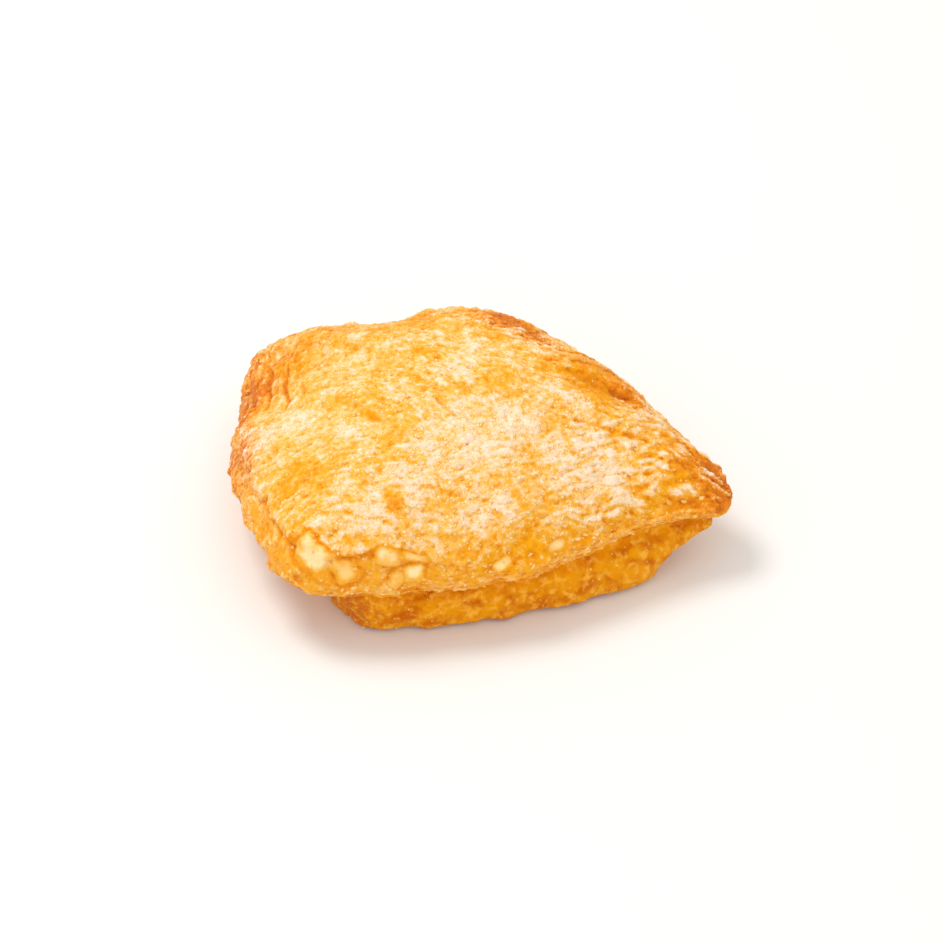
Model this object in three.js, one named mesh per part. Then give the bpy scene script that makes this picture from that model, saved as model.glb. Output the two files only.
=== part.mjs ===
// A turnover: a square of puff pastry folded corner to corner over a filling, sugared and baked.
// Millimetres, +Z up. The fold runs along X at the back, the square's free corner points to -Y,
// and the origin is under the middle of the pastry, on the surface that it rests on.
import * as THREE from "three";

// Driving dimensions.
const HEIGHT = 46; // top of the dome above the table
const CROWN = [2, 17]; // plan position of the top of the dome
const COLUMNS = 132; // steps round the rim
const ROWS_PER_SPAN = 2; // steps between two neighbouring points of a section

// Stations round the rim, anticlockwise from above. x and y place the lip of the upper leaf, where
// the pastry is widest, and lip is its height. open is 0 on the fold, where both leaves are one, and
// 1 where they gape. tuck is how far the lower leaf's edge lies in from the lip, and keel how far
// beyond that its underside lifts off the table. face is the height of the blunt front of the upper
// leaf above its lip, and full how squarely the dome stands up behind it.
const STATIONS = [
  { name: "right tip", x: 69, y: 22, lip: 17, open: 0.8, tuck: 4, keel: 15, face: 3, full: 1.5 },
  { name: "right tip, back", x: 65, y: 30, lip: 18, open: 0.3, tuck: 4, keel: 15, face: 4, full: 1.6 },
  { name: "right shoulder", x: 56, y: 35, lip: 19, open: 0.1, tuck: 2, keel: 12, face: 5, full: 1.8 },
  { name: "fold, right", x: 38, y: 43, lip: 21, open: 0, tuck: 1, keel: 8, face: 9, full: 2.1 },
  { name: "fold, middle", x: 19, y: 49, lip: 22, open: 0, tuck: 1, keel: 8, face: 11, full: 2.4 },
  { name: "fold, crest", x: -5, y: 51, lip: 23, open: 0, tuck: 1, keel: 8, face: 14, full: 2.9 },
  { name: "fold, left", x: -25, y: 47, lip: 23, open: 0, tuck: 1, keel: 8, face: 13, full: 2.8 },
  { name: "fold, far left", x: -49, y: 38, lip: 20, open: 0, tuck: 1, keel: 8, face: 6, full: 2.2 },
  { name: "left tip, back", x: -67, y: 31, lip: 19, open: 0.1, tuck: 2, keel: 12, face: 5, full: 2 },
  { name: "left tip", x: -70, y: 22, lip: 19, open: 0.5, tuck: 4, keel: 12, face: 6, full: 2.1 },
  { name: "left leg, back", x: -62, y: -1, lip: 17, open: 0.8, tuck: 7, keel: 7, face: 7, full: 2.2 },
  { name: "left leg, middle", x: -53, y: -22, lip: 17, open: 1, tuck: 10, keel: 5, face: 10, full: 2.4 },
  { name: "left leg, front", x: -35, y: -41, lip: 17, open: 1, tuck: 14, keel: 2, face: 12, full: 2.4 },
  { name: "free corner", x: -19, y: -52, lip: 17, open: 1, tuck: 14, keel: 0.5, face: 12, full: 2.3 },
  { name: "free corner, right", x: -6, y: -49, lip: 17, open: 1, tuck: 6, keel: 0, face: 10, full: 2.3 },
  { name: "right leg, front", x: 10, y: -40, lip: 17, open: 1, tuck: 3, keel: 0, face: 8, full: 2.2 },
  { name: "right leg, middle", x: 33, y: -23, lip: 17, open: 1, tuck: 3, keel: 0, face: 6, full: 2 },
  { name: "right leg, back", x: 52, y: 4, lip: 19, open: 1, tuck: -3, keel: 1, face: 3, full: 1.7 },
  { name: "right tip, front", x: 62, y: 15, lip: 18, open: 1, tuck: 2, keel: 10, face: 3, full: 1.6 },
];

// Half sections, from the foot to the top of the blunt front. inset is how far in from the lip a
// point lies, with the tuck added on the lower leaf, and up is its height in parts of the lip's.
const FOLD_SECTION = {
  foot: { inset: 5, up: 0 },
  lowerEdge: { inset: 2.5, up: 0.4 },
  wallTop: { inset: 1, up: 0.66 },
  seam: { inset: 0.5, up: 0.8 },
  underLip: { inset: 0.2, up: 0.9 },
  lip: { inset: 0, up: 1 },
};
const OPEN_SECTION = {
  foot: { inset: 0.5, up: 0 },
  lowerEdge: { inset: 0, up: 0.35 },
  wallTop: { inset: 1, up: 0.66 },
  seam: { inset: 4, up: 0.78 },
  underLip: { inset: 2, up: 0.86 },
  lip: { inset: 0, up: 1 },
};
const LOWER_LEAF = ["foot", "lowerEdge", "wallTop", "seam"];
const KEEL_LIFT = 0.25; // how much higher the lower edge lies for each millimetre of keel

// The blunt front above the lip: how far in a point lies, and its height in parts of the front's.
const FRONT = [
  { inset: 0.7, up: 0.4 },
  { inset: 2.4, up: 0.62 },
  { inset: 3.5, up: 1 },
];

const DOME_ROUNDING = 1.25; // the superellipse power that rounds the dome's top
const DOME_STEPS = [0.95, 0.88, 0.79, 0.68, 0.55, 0.41, 0.27, 0.13];

// The edges' raggedness: sines along the rim, counted once round, with sizes in millimetres.
const RIPPLES = [
  { waves: 21, size: 0.4, turn: 0.4 },
  { waves: 34, size: 0.3, turn: 2.1 },
];
const LOWER_LEAF_TURN = 2; // how far the lower leaf's ripples run behind the upper leaf's

// Wrinkles that fan out from each tip of the fold, deepest on the tip's side of the dome.
const WRINKLE_FANS = [
  { x: 66, y: 25, count: 15, depth: 0.8, reach: 44 },
  { x: -66, y: 24, count: 13, depth: 0.8, reach: 34 },
];

// Creases of the upper leaf, as lines in plan. The first is a split, and the last is a low ridge.
const CREASES = [
  { name: "split by the fold", from: [20, 25], to: [38, 33], width: 3.5, depth: 1.6 },
  { name: "pinch at the left tip", from: [-62, 15], to: [-46, -11], width: 3.5, depth: 1.4 },
  { name: "inner pinch", from: [-57, 18], to: [-40, -10], width: 3, depth: 1 },
  { name: "long crease", from: [-20, 0], to: [48, 18], width: 3, depth: 0.8 },
  { name: "crest ridge", from: [-18, 40], to: [-8, 42], width: 5, depth: -1.6 },
];

const PASTRY_COLOUR = 0xf2b458;

const mix = THREE.MathUtils.lerp;

// A closed smooth curve through the stations' values of one kind, sampled at share 0 to 1.
function stationCurve(pick) {
  const points = STATIONS.map((station) => new THREE.Vector3(...pick(station)));
  return new THREE.CatmullRomCurve3(points, true, "centripetal");
}

const rimCurve = stationCurve((s) => [s.x, s.y, s.lip]);
const characterCurve = stationCurve((s) => [10 * s.open, s.tuck, s.face]);
const keelCurve = stationCurve((s) => [10 * s.full, s.keel, 0]);

// The rim's facts at a share of its length: its lip in plan and height, and how its section is made.
function rimAt(share) {
  const along = rimCurve.getUtoTmapping(share);
  const lip = rimCurve.getPoint(along);
  const character = characterCurve.getPoint(along);
  const keel = keelCurve.getPoint(along);
  return {
    share,
    x: lip.x,
    y: lip.y,
    lip: lip.z,
    open: THREE.MathUtils.clamp(character.x / 10, 0, 1),
    tuck: character.y,
    face: character.z,
    full: keel.x / 10,
    keel: Math.max(keel.y, 0),
  };
}

// How far the rim's ripples push an edge inwards, nothing on the fold and all of it where it gapes.
function ripple(rim, turn) {
  const angle = 2 * Math.PI * rim.share;
  const waves = RIPPLES.map((sine) => sine.size * Math.sin(sine.waves * angle + sine.turn + turn));
  return rim.open * waves.reduce((sum, wave) => sum + wave, 0);
}

// A point of the section: inset from the lip towards the crown, at a height.
function placed(rim, inset, z) {
  const toCrown = new THREE.Vector2(CROWN[0] - rim.x, CROWN[1] - rim.y).normalize();
  return new THREE.Vector3(rim.x + toCrown.x * inset, rim.y + toCrown.y * inset, z);
}

function wallPoint(rim, name) {
  const folded = FOLD_SECTION[name];
  const gaping = OPEN_SECTION[name];
  const isLower = LOWER_LEAF.includes(name);
  let inset = mix(folded.inset, gaping.inset, rim.open) + ripple(rim, isLower ? LOWER_LEAF_TURN : 0);
  let z = mix(folded.up, gaping.up, rim.open) * rim.lip;
  if (isLower) inset += rim.tuck;
  if (name === "foot") inset += rim.keel;
  if (name === "lowerEdge") z += KEEL_LIFT * rim.keel;
  return placed(rim, inset, z);
}

// Height lost to the fans of wrinkles at a plan position.
function wrinkleDrop(x, y) {
  let drop = 0;
  for (const fan of WRINKLE_FANS) {
    const dx = x - fan.x;
    const dy = y - fan.y;
    const distance = Math.hypot(dx, dy);
    const waves = 0.5 + 0.5 * Math.cos(2 * fan.count * Math.atan2(dy, dx));
    drop += fan.depth * waves * Math.exp(-((distance / fan.reach) ** 2)) * Math.min(1, distance / 10);
  }
  return drop;
}

// Height lost to the creases at a plan position.
function creaseDrop(x, y) {
  const here = new THREE.Vector3(x, y, 0);
  let drop = 0;
  for (const crease of CREASES) {
    const line = new THREE.Line3(new THREE.Vector3(...crease.from, 0), new THREE.Vector3(...crease.to, 0));
    const distance = here.distanceTo(line.closestPointToPoint(here, true, new THREE.Vector3()));
    drop += crease.depth * Math.exp(-((distance / crease.width) ** 2));
  }
  return drop;
}

// A point of the dome, lowered by the wrinkles and creases that run through it.
function creased(x, y, z) {
  return new THREE.Vector3(x, y, z - wrinkleDrop(x, y) - creaseDrop(x, y));
}

// The dome over a share of the way from the crown to the shoulder.
function domePoint(rim, shoulder, outwards) {
  const rise = (1 - outwards ** rim.full) ** (1 / DOME_ROUNDING);
  const x = mix(CROWN[0], shoulder.x, outwards);
  const y = mix(CROWN[1], shoulder.y, outwards);
  return creased(x, y, mix(shoulder.z, HEIGHT, rise));
}

// One half section as a list of points, from the middle of the sole to beside the crown.
function section(share) {
  const rim = rimAt(share);
  const wall = Object.keys(FOLD_SECTION).map((name) => wallPoint(rim, name));
  const front = FRONT.map(({ inset, up }) => {
    return placed(rim, inset + ripple(rim, 0) * (1 - up), rim.lip + rim.face * up);
  });
  const shoulder = front.at(-1);
  const dome = DOME_STEPS.map((outwards) => domePoint(rim, shoulder, outwards));
  const foot = wall[0];
  const soleMiddle = new THREE.Vector3(mix(CROWN[0], foot.x, 0.55), mix(CROWN[1], foot.y, 0.55), 0);
  const outline = [...wall, ...front, ...dome];
  const curve = new THREE.CatmullRomCurve3(outline, false, "centripetal");
  const steps = (outline.length - 1) * ROWS_PER_SPAN;
  const points = [soleMiddle];
  for (let step = 0; step <= steps; step++) {
    const point = curve.getPoint(step / steps);
    point.z = Math.max(point.z, 0);
    points.push(point);
  }
  return points;
}

// The closed surface: half sections side by side, with one vertex in the sole and one at the crown.
// It is moved so that the middle of its box stands over the origin.
function pastryGeometry() {
  const sections = Array.from({ length: COLUMNS }, (_, column) => section(column / COLUMNS));
  const rows = sections[0].length;
  const sole = COLUMNS * rows;
  const crown = sole + 1;
  const points = [...sections.flat(), new THREE.Vector3(...CROWN, 0), creased(...CROWN, HEIGHT)];
  const index = [];
  for (let column = 0; column < COLUMNS; column++) {
    const here = column * rows;
    const next = ((column + 1) % COLUMNS) * rows;
    index.push(sole, next, here, crown, here + rows - 1, next + rows - 1);
    for (let row = 0; row < rows - 1; row++) {
      index.push(here + row, next + row, next + row + 1, here + row, next + row + 1, here + row + 1);
    }
  }
  const geometry = new THREE.BufferGeometry().setFromPoints(points);
  geometry.setIndex(index);
  const middle = new THREE.Box3().setFromPoints(points).getCenter(new THREE.Vector3());
  geometry.translate(-middle.x, -middle.y, 0);
  geometry.computeVertexNormals();
  return geometry;
}

function pastryMaterial() {
  return new THREE.MeshStandardMaterial({ color: PASTRY_COLOUR, roughness: 0.65, metalness: 0 });
}

const turnover = new THREE.Group();
const pastry = new THREE.Mesh(pastryGeometry(), pastryMaterial());
pastry.name = "pastry";
turnover.add(pastry);

export default turnover;
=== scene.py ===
"""Looks of a sugared puff pastry turnover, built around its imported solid.

The crust is the solid's own surface: remeshed fine, then displaced in code into blisters, wrinkles,
creases, the plates of the torn front and the smooth lower leaf. Fields worked out on its points say
where it is sugared, browned or bare, and drive both its material and what lies on it: sugar crystals,
the edges of its leaves and loose flakes. Lengths are millimetres until a mesh is made, and plan
positions are (x, y) in the part's own frame.
"""

import itertools
import math

import bmesh
import bpy
import numpy as np
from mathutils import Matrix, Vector
from mathutils.bvhtree import BVHTree


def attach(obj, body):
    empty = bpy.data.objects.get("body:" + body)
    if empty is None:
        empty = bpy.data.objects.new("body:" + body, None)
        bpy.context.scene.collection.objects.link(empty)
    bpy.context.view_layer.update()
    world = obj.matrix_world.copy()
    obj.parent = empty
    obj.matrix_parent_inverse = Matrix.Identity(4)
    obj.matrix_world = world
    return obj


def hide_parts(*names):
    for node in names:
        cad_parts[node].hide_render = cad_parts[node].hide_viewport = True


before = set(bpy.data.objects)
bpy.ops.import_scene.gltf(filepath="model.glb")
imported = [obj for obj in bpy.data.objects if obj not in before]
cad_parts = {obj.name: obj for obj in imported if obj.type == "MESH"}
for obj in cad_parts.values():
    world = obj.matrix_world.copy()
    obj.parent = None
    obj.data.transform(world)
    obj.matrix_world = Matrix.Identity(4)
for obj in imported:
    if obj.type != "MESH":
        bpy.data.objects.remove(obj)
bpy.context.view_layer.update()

MM = 0.001  # metres in a millimetre
NODE = "pastry"
BODY = "root"

# The photograph's view.
IMAGE_SIZE = 945
CAMERA_AZIMUTH = 25.0
CAMERA_ELEVATION = 40.0
CAMERA_DISTANCE = 900.0
LENS = 132.0
SENSOR = 36.0
SIGHTED_POINT = (7.7, 4.7, 20.0)  # shows at SIGHTED_PIXEL
SIGHTED_PIXEL = (483.0, 476.0)

# Driving sizes of the crust.
CROWN = (2.7, 17.7)  # plan position that every rim angle is measured round
VOXEL = 0.57  # edge of the crust's faces
FOLD_ANGLES = (8.0, 170.0)  # rim angles between which both leaves are one fold
FOLD_BLEND = 6.0  # degrees to each side over which the fold opens


def smooth_step(low, high, value):
    t = np.clip((value - low) / (high - low), 0.0, 1.0)
    return t * t * (3.0 - 2.0 * t)


def bell(distance, width):
    return np.exp(-((distance / width) ** 2))


def unit(vectors):
    return vectors / np.linalg.norm(vectors, axis=-1, keepdims=True)


# ---------------------------------------------------------------- noise
GRADIENTS = unit(np.random.default_rng(11).normal(size=(256, 3)))
LOW_BITS = np.uint64(1023)


def hashed(cell, seed):
    """A whole number for each cell of a lattice, always the same for the same cell."""
    x, y, z = (cell[:, axis].astype(np.uint64) for axis in range(3))
    mixed = x * np.uint64(73856093) ^ y * np.uint64(19349663) ^ z * np.uint64(83492791)
    mixed ^= np.uint64(seed * 2654435761 + 12345)
    mixed = (mixed ^ (mixed >> np.uint64(13))) * np.uint64(1274126177)
    return mixed ^ (mixed >> np.uint64(16))


def noise(points, size, seed):
    """Smooth noise from about -1 to 1 whose bumps are about size across."""
    scaled = points / size
    cell = np.floor(scaled).astype(np.int64)
    inside = scaled - cell
    fade = inside**3 * (inside * (inside * 6.0 - 15.0) + 10.0)
    total = np.zeros(len(points))
    for corner in itertools.product((0, 1), repeat=3):
        gradient = GRADIENTS[(hashed(cell + np.array(corner), seed) % np.uint64(256)).astype(int)]
        value = ((inside - corner) * gradient).sum(axis=1)
        total += np.prod(np.where(corner, fade, 1.0 - fade), axis=1) * value
    return 1.7 * total


def layered(points, size, seed, layers=3):
    """Noise of several sizes, each half the last one's size and height."""
    return sum(noise(points, size * 0.5**k, seed + k) * 0.5**k for k in range(layers))


def warped(points, size, amount, seed):
    """Points pushed about by noise, so that a pattern worked out on them is less regular."""
    push = np.stack([noise(points, size, seed + axis) for axis in range(3)], axis=1)
    return points + amount * push


def plates(points, size, seed):
    """Cells of random shape: how far inside its cell a point is, the cell's number from 0 to 1, and
    how high the point is on the cell's own random slope."""
    scaled = points / size
    cell = np.floor(scaled).astype(np.int64)
    nearest = np.full(len(points), np.inf)
    second = np.full(len(points), np.inf)
    owner = np.zeros(len(points), np.uint64)
    offset = np.zeros((len(points), 3))
    for step in itertools.product((-1, 0, 1), repeat=3):
        near = cell + np.array(step)
        code = hashed(near, seed)
        jitter = np.stack([(code >> np.uint64(shift)) & LOW_BITS for shift in (0, 10, 20)], axis=1)
        away = scaled - near - jitter / float(LOW_BITS)
        distance = np.linalg.norm(away, axis=1)
        closer = distance < nearest
        second = np.where(closer, nearest, np.minimum(second, distance))
        owner = np.where(closer, code, owner)
        offset[closer] = away[closer]
        nearest = np.minimum(nearest, distance)
    number = ((owner >> np.uint64(7)) & LOW_BITS) / float(LOW_BITS)
    slope = GRADIENTS[((owner >> np.uint64(3)) % np.uint64(256)).astype(int)]
    return second - nearest, number, (offset * slope).sum(axis=1)


# ---------------------------------------------------------------- mesh tools
def positions(mesh):
    flat = np.empty(3 * len(mesh.vertices), np.float32)
    mesh.vertices.foreach_get("co", flat)
    return flat.reshape(-1, 3).astype(float) / MM


def vertex_normals(mesh):
    flat = np.empty(3 * len(mesh.vertices), np.float32)
    mesh.vertex_normals.foreach_get("vector", flat)
    return flat.reshape(-1, 3).astype(float)


def triangles(mesh):
    mesh.calc_loop_triangles()
    flat = np.empty(3 * len(mesh.loop_triangles), np.int32)
    mesh.loop_triangles.foreach_get("vertices", flat)
    return flat.reshape(-1, 3)


def move_to(mesh, points):
    mesh.vertices.foreach_set("co", (points * MM).astype(np.float32).ravel())
    mesh.update()


def edge_ends(mesh):
    flat = np.empty(2 * len(mesh.edges), np.int32)
    mesh.edges.foreach_get("vertices", flat)
    return flat.reshape(-1, 2)


def smoothed(values, ends, rounds):
    """Values of the vertices, each moved half way to its neighbours' mean, some rounds long."""
    count = len(values)
    degree = np.bincount(ends.ravel(), minlength=count)
    columns = values.reshape(count, -1).astype(float)
    for _ in range(rounds):
        sums = np.empty_like(columns)
        for k in range(columns.shape[1]):
            sums[:, k] = np.bincount(ends[:, 0], columns[ends[:, 1], k], count)
            sums[:, k] += np.bincount(ends[:, 1], columns[ends[:, 0], k], count)
        columns += 0.5 * (sums / degree[:, None] - columns)
    return columns.reshape(values.shape)


def store(mesh, name, values):
    mesh.attributes.new(name, "FLOAT", "POINT").data.foreach_set("value", values.astype(np.float32))


def new_object(name, mesh):
    piece = bpy.data.objects.new(name, mesh)
    bpy.context.scene.collection.objects.link(piece)
    return piece


def quad_mesh(name, points, faces):
    """A mesh of four-sided faces from arrays, with its points in millimetres."""
    mesh = bpy.data.meshes.new(name)
    mesh.from_pydata([], [], [])
    mesh.vertices.add(len(points))
    mesh.loops.add(4 * len(faces))
    mesh.polygons.add(len(faces))
    mesh.vertices.foreach_set("co", (points * MM).astype(np.float32).ravel())
    mesh.loops.foreach_set("vertex_index", faces.astype(np.int32).ravel())
    mesh.polygons.foreach_set("loop_start", np.arange(0, 4 * len(faces), 4, dtype=np.int32))
    mesh.update(calc_edges=True)
    return mesh


def apply_modifiers(piece):
    """Gives the piece the mesh that its modifiers make, and takes them off."""
    depsgraph = bpy.context.evaluated_depsgraph_get()
    mesh = bpy.data.meshes.new_from_object(piece.evaluated_get(depsgraph))
    piece.modifiers.clear()
    piece.data = mesh


# ---------------------------------------------------------------- the rim
def rim_angle(points):
    """Degrees round the crown, anticlockwise from +X."""
    return np.degrees(np.arctan2(points[:, 1] - CROWN[1], points[:, 0] - CROWN[0])) % 360.0


class Rim:
    """The outermost line of the upper leaf, as its radius and height at each angle round the crown."""

    STEPS = 120
    LOWEST = 14.5  # millimetres up, above any bulge of the lower leaf

    def __init__(self, points):
        points = points[points[:, 2] > self.LOWEST]
        angle = rim_angle(points)
        radius = np.hypot(points[:, 0] - CROWN[0], points[:, 1] - CROWN[1])
        sector = (angle * self.STEPS / 360.0).astype(int)
        groups = [np.flatnonzero(sector == k) for k in np.unique(sector)]
        best = np.array([group[np.argmax(radius[group])] for group in groups])
        best = best[np.argsort(angle[best])]
        self.angles = angle[best]
        self.radii = radius[best]
        self.heights = points[best, 2]

    def radius(self, angle):
        return np.interp(angle, self.angles, self.radii, period=360.0)

    def height(self, angle):
        return np.interp(angle, self.angles, self.heights, period=360.0)


# How high the torn front of the upper leaf stands above its lip, and how deep the crease above it is,
# at angles round the crown.
FRONT_ANGLES = (0.0, 12.0, 165.0, 195.0, 225.0, 245.0, 262.0, 276.0, 292.0, 340.0)
FRONT_HEIGHTS = (1.0, 0.5, 0.5, 6.0, 8.5, 10.5, 10.0, 8.0, 2.6, 1.8)
CREASE_DEPTHS = (0.0, 0.0, 0.0, 0.1, 0.3, 0.9, 0.9, 0.2, 0.0, 0.0)

# Smooth plates of leaf that the photograph shows: middle, half length and half width, turn in degrees,
# how far they stand out and how pale they are.
SMOOTH_PLATES = [
    {"at": (-14.6, -48.6, 26.4), "size": (5.4, 3.8), "turn": -24.0, "rise": 0.5, "pale": 1.1},
    {"at": (-6.4, -46.4, 23.0), "size": (2.8, 3.0), "turn": 40.0, "rise": 0.7, "pale": 0.6},
    {"at": (2.4, -40.8, 26.3), "size": (3.0, 2.2), "turn": -10.0, "rise": 0.4, "pale": 1.0},
    {"at": (8.1, -37.1, 25.3), "size": (3.0, 1.0), "turn": -6.0, "rise": 0.3, "pale": 0.6},
    {"at": (8.5, -38.5, 21.7), "size": (2.4, 2.0), "turn": 12.0, "rise": 0.5, "pale": 0.9},
    {"at": (5.2, -41.8, 20.7), "size": (1.4, 2.2), "turn": 0.0, "rise": 0.4, "pale": 0.5},
    {"at": (-27.3, -43.3, 24.6), "size": (1.8, 2.6), "turn": 20.0, "rise": 0.5, "pale": 0.6},
    {"at": (36.8, -14.0, 21.6), "size": (2.6, 1.5), "turn": 10.0, "rise": 0.12, "pale": 0.75},
    {"at": (27.3, -25.3, 20.8), "size": (2.8, 1.6), "turn": 35.0, "rise": 0.12, "pale": 0.75},
    {"at": (24.7, -29.9, 17.8), "size": (2.8, 0.8), "turn": -12.0, "rise": 0.1, "pale": 0.8},
]


def plate_cover(points):
    """How much each point lies on a smooth plate, how pale it is there, how far it stands out, and how
    deep it lies in the shade round a plate. Later plates lie over earlier ones."""
    cover, pale, rise, shade = (np.zeros(len(points)) for _ in range(4))
    wobble = 0.25 * noise(points, 3.0, 49) + 0.12 * noise(points, 1.3, 50)
    worn = np.clip(1.0 + 0.7 * noise(points, 3.4, 55), 0.3, 1.0)
    for plate in SMOOTH_PLATES:
        offset = points - np.array(plate["at"])
        out = unit(np.array([plate["at"][0] - CROWN[0], plate["at"][1] - CROWN[1], 0.0]))
        level = offset @ np.array([-out[1], out[0], 0.0])
        upward = offset @ np.array([-0.5 * out[0], -0.5 * out[1], 0.87])
        near = bell(offset @ np.array([0.87 * out[0], 0.87 * out[1], 0.5]), 3.5)
        turn = math.radians(plate["turn"])
        along = (level * math.cos(turn) + upward * math.sin(turn)) / plate["size"][0]
        across = (upward * math.cos(turn) - level * math.sin(turn)) / plate["size"][1]
        edge = np.cbrt(np.abs(along) ** 3 + np.abs(across) ** 3) + wobble
        here = near * smooth_step(1.15, 0.9, edge)
        groove = near * bell(edge - 1.25, 0.16)
        cover = np.maximum(cover, here)
        pale += here * (plate["pale"] * worn * smooth_step(1.2, 0.3, edge - 0.2 * across) - pale)
        outline = groove * min(1.0, 2.0 * plate["rise"])
        rise += here * (plate["rise"] - rise) - 0.18 * outline
        shade += here * (0.0 - shade) + outline * (1.0 - shade)
    return cover, pale, rise, shade


class Fields:
    """Where each point lies on the pastry, as numbers from 0 to 1 unless they say otherwise.

    out: from the crown to the rim. gape: where the legs are open. fold_side: the fold's steep side.
    upper: the upper leaf, made up of its torn front and its dome. Under it lie the roof of the recess
    below the lip, the lower leaf's wall and the sole.
    """

    def __init__(self, points, normals, rim):
        self.points = points
        self.angle = rim_angle(points)
        self.out = np.hypot(points[:, 0] - CROWN[0], points[:, 1] - CROWN[1]) / rim.radius(self.angle)
        self.above = points[:, 2] - rim.height(self.angle)  # millimetres above the lip
        low, high = FOLD_ANGLES
        folded = smooth_step(low - FOLD_BLEND, low + FOLD_BLEND, self.angle)
        folded *= 1.0 - smooth_step(high - FOLD_BLEND, high + FOLD_BLEND, self.angle)
        self.gape = 1.0 - folded
        self.fold_side = folded * (1.0 - smooth_step(0.3, 0.75, normals[:, 2]))
        self.upper = smooth_step(-1.2, 0.0, self.above)
        top = np.interp(self.angle, FRONT_ANGLES, FRONT_HEIGHTS, period=360.0)
        wander = 0.9 * noise(points, 14.0, 71) + 0.7 * noise(points, 5.0, 72)
        self.front_edge = self.above - top - wander  # millimetres above the crease that tops the front
        depth = np.interp(self.angle, FRONT_ANGLES, CREASE_DEPTHS, period=360.0)
        self.crease = depth * self.gape * self.upper  # that crease's depth in millimetres
        steep = 1.0 - smooth_step(0.75, 0.95, normals[:, 2])
        self.front = self.upper * self.gape * (1.0 - smooth_step(-0.6, 0.6, self.front_edge)) * steep
        self.dome = self.upper * (1.0 - self.front)
        below = 1.0 - self.upper
        down = smooth_step(0.3, 0.7, -normals[:, 2])
        self.roof = below * self.gape * down * smooth_step(-7.0, -4.0, self.above)
        self.sole = down * (1.0 - self.roof)
        self.wall = below * (1.0 - self.roof) * (1.0 - self.sole)
        self.plate, self.plate_pale, self.plate_rise, self.plate_shade = plate_cover(points)


def along_line(points, start, end):
    """Plan distance from a line, and the share of the way along it."""
    start = np.array(start)
    way = np.array(end) - start
    offset = points[:, :2] - start
    share = np.clip(offset @ way / (way @ way), 0.0, 1.0)
    return np.linalg.norm(offset - share[:, None] * way, axis=1), share


def zone_sum(points, zones):
    """What soft round zones, each a plan position, a radius and an amount, add up to."""
    total = np.zeros(len(points))
    for x, y, radius, amount in zones:
        total += amount * bell(np.hypot(points[:, 0] - x, points[:, 1] - y), radius)
    return total


# ---------------------------------------------------------------- relief
# Zones of wrinkles on the crust: middle in plan, radius, the way they run in degrees from +X or the
# plan point that they draw together at, and their depth in millimetres.
STREAKS = [
    {"at": (-58.0, 6.0), "radius": 12.0, "way": 112.0, "depth": 0.6},
    {"at": (-34.0, 14.0), "radius": 14.0, "way": 20.0, "depth": 0.35},
    {"at": (-34.0, -14.0), "radius": 12.0, "way": 45.0, "depth": 0.35},
    {"at": (-10.0, 8.0), "radius": 16.0, "way": -22.0, "depth": 0.7},
    {"at": (-8.0, -28.0), "radius": 15.0, "way": 30.0, "depth": 0.5},
    {"at": (15.0, -8.0), "radius": 14.0, "way": 48.0, "depth": 0.6},
    {"at": (14.0, 30.0), "radius": 14.0, "way": 15.0, "depth": 0.7},
    {"at": (32.0, 33.0), "radius": 8.0, "way": 22.0, "depth": 1.0},
    {"at": (38.0, 12.0), "radius": 16.0, "way": 50.0, "depth": 0.9},
    {"at": (62.0, 24.0), "radius": 14.0, "aim": (80.0, 31.0), "depth": 1.5},
]
STREAK_LONG = 7.5  # millimetres along one wrinkle
STREAK_WIDE = 1.8
STREAK_TALL = 15.0
STREAK_SEED = 200

# Creases of the crust: plan ends, half width, depth in millimetres, and how bare of sugar they are.
CREASES = [
    {"from": (19.0, 27.5), "to": (38.5, 35.0), "width": 2.2, "depth": 0.8, "bare": 1.0},
    {"from": (31.0, 32.5), "to": (37.0, 34.5), "width": 0.6, "depth": 0.5, "bare": 1.0},
    {"from": (-59.2, 14.5), "to": (-50.1, -5.6), "width": 0.7, "depth": 1.1, "bare": 0.9},
    {"from": (-52.6, 11.9), "to": (-43.2, -7.2), "width": 0.5, "depth": 1.0, "bare": 0.8},
    {"from": (-43.4, 3.5), "to": (-39.8, -3.5), "width": 0.6, "depth": 0.6, "bare": 0.4},
    {"from": (-7.4, 0.7), "to": (6.0, -3.0), "width": 0.7, "depth": 0.5, "bare": 0.2},
    {"from": (-31.0, -6.0), "to": (-8.0, -12.0), "width": 1.3, "depth": 0.4, "bare": 0.15},
    {"from": (24.0, 13.0), "to": (50.0, 23.0), "width": 0.8, "depth": 0.6, "bare": 0.3},
    {"from": (-7.0, 41.0), "to": (5.0, 41.5), "width": 2.0, "depth": 0.4, "bare": 0.9},
]

# Single lumps and dents: plan position, radius and height.
LUMPS = [(-25.0, 39.5, 3.0, 0.9), (11.5, 41.0, 4.0, -0.6), (-57.0, 34.0, 4.0, 0.6)]


def streak_frame(points, zone):
    """How far along and across a zone's wrinkles each point is, in their own lengths and widths."""
    if "aim" in zone:
        offset = np.array(zone["aim"]) - points[:, :2]
        along = np.hypot(offset[:, 0], offset[:, 1])
        middle = np.hypot(*(np.array(zone["aim"]) - np.array(zone["at"])))
        across = middle * np.arctan2(offset[:, 1], offset[:, 0])
    else:
        turn = math.radians(zone["way"])
        along = points[:, :2] @ np.array([math.cos(turn), math.sin(turn)])
        across = points[:, :2] @ np.array([-math.sin(turn), math.cos(turn)])
    return np.stack([along / STREAK_LONG, across / STREAK_WIDE, points[:, 2] / STREAK_TALL], axis=1)


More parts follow.
